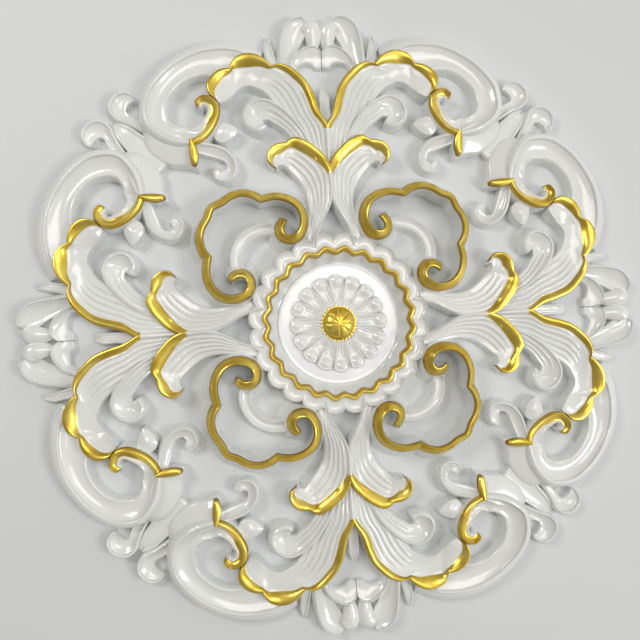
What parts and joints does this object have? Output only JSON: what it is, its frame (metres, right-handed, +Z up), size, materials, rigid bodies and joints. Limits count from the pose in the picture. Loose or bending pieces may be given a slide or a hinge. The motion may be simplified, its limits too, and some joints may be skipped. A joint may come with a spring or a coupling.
{
  "type": "ceiling rose",
  "caption": "Round pierced ceiling rose: scrolls, leaves and cartouche frames around a scalloped centre ring with a flower and boss.",
  "frame": {"origin": "centre of the flat back, where it meets the ceiling", "axes": "+Z up into the ceiling, out of the flat back; the carving hangs towards -Z; +X and +Y run to two of the four crests"},
  "size_m": [0.7998, 0.7998, 0.042],
  "materials": {
    "lacquered_casting": "pearl white lacquer with gold painted lips"
  },
  "bodies": {
    "root": {"rose_casting": "lacquered_casting"}
  },
  "joints": []
}
